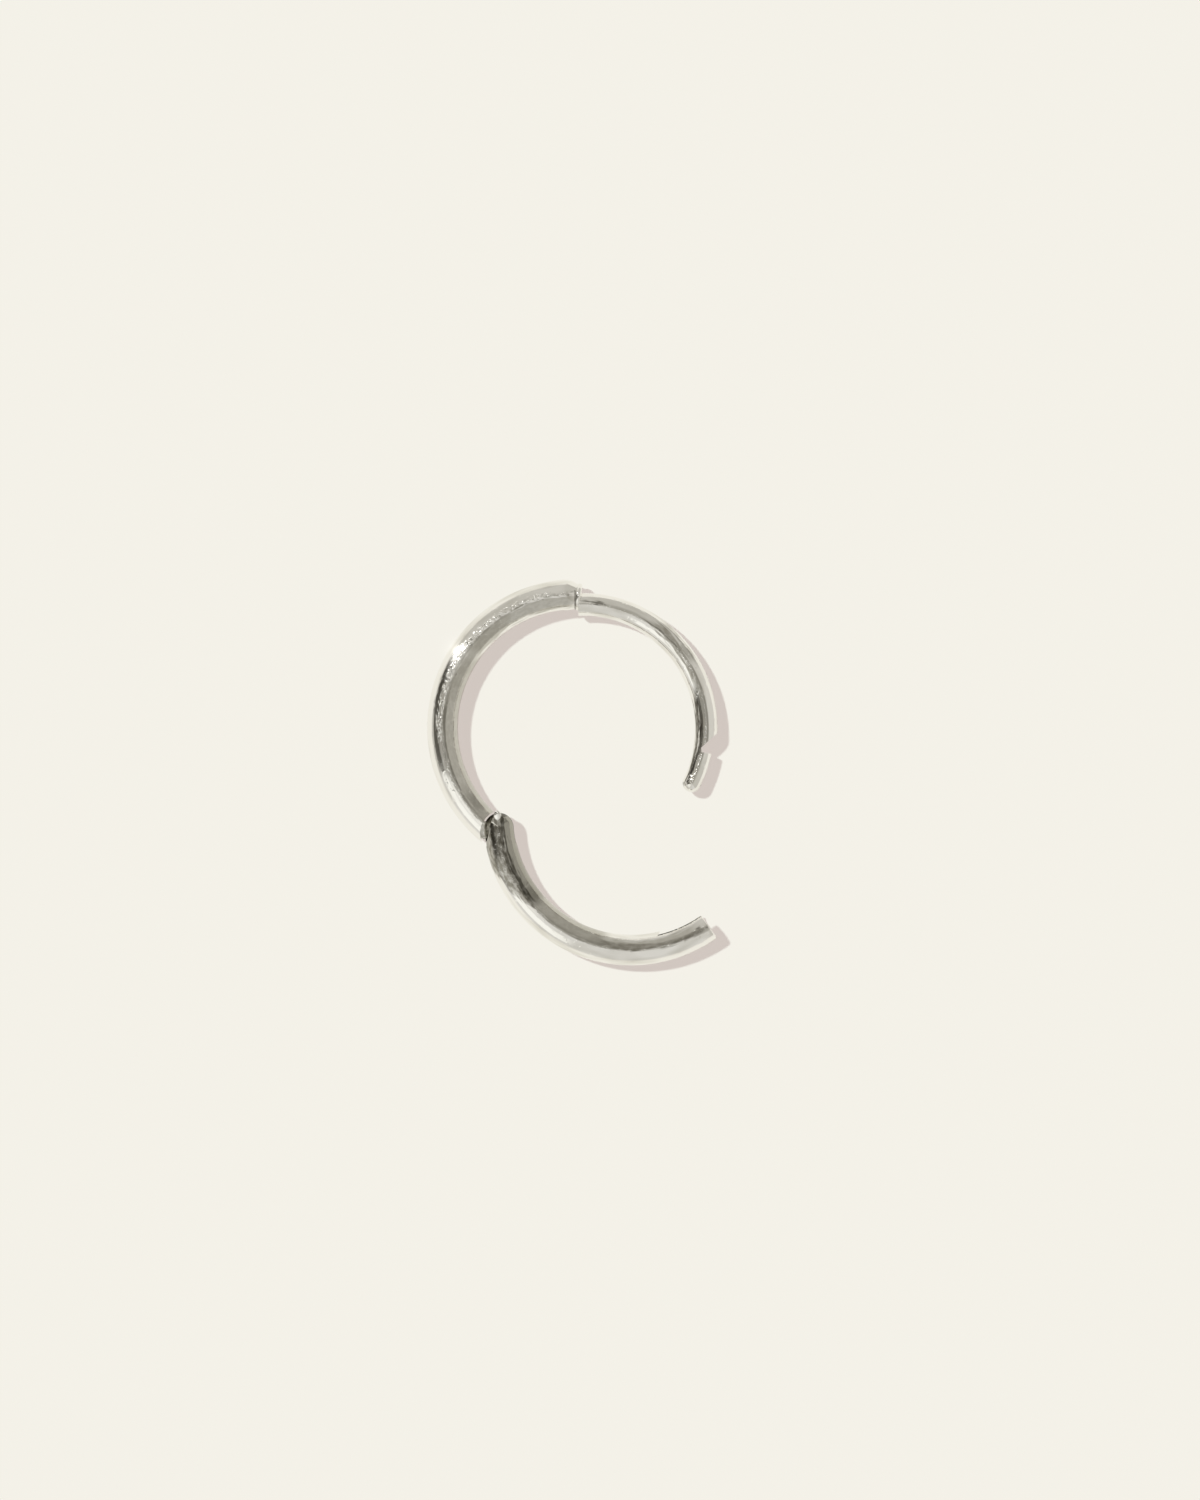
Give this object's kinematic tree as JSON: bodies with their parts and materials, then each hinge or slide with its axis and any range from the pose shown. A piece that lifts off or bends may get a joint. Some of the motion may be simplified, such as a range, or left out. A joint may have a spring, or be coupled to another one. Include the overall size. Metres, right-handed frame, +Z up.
{
  "type": "huggie earring",
  "caption": "Small hinged hoop earring of polished round tube, lying open, with a bent notched ear post that enters the back half's mouth.",
  "frame": {"origin": "middle of the bounding box's underside, with the hoop lying open on its side", "axes": "+Z up, along the hinge's rivet; +X to the right of the picture, towards the ear post; +Y towards its top, where the post leaves the collar"},
  "size_m": [0.0118, 0.0156, 0.0012],
  "materials": {
    "front_half": "mirror-polished sterling silver",
    "back_half": "mirror-polished sterling silver",
    "hinge_pin": "filed and polished sterling silver"
  },
  "bodies": {
    "front": {"front_half": "front_half"},
    "back": {"back_half": "back_half", "hinge_pin": "hinge_pin"}
  },
  "joints": [
    {"name": "hinge", "type": "hinge", "parent": "front", "child": "back", "pos_m": [-0.00273, -0.00246, 0.00063], "axis": [0, 0, 1], "range_deg": [0, 50]}
  ]
}
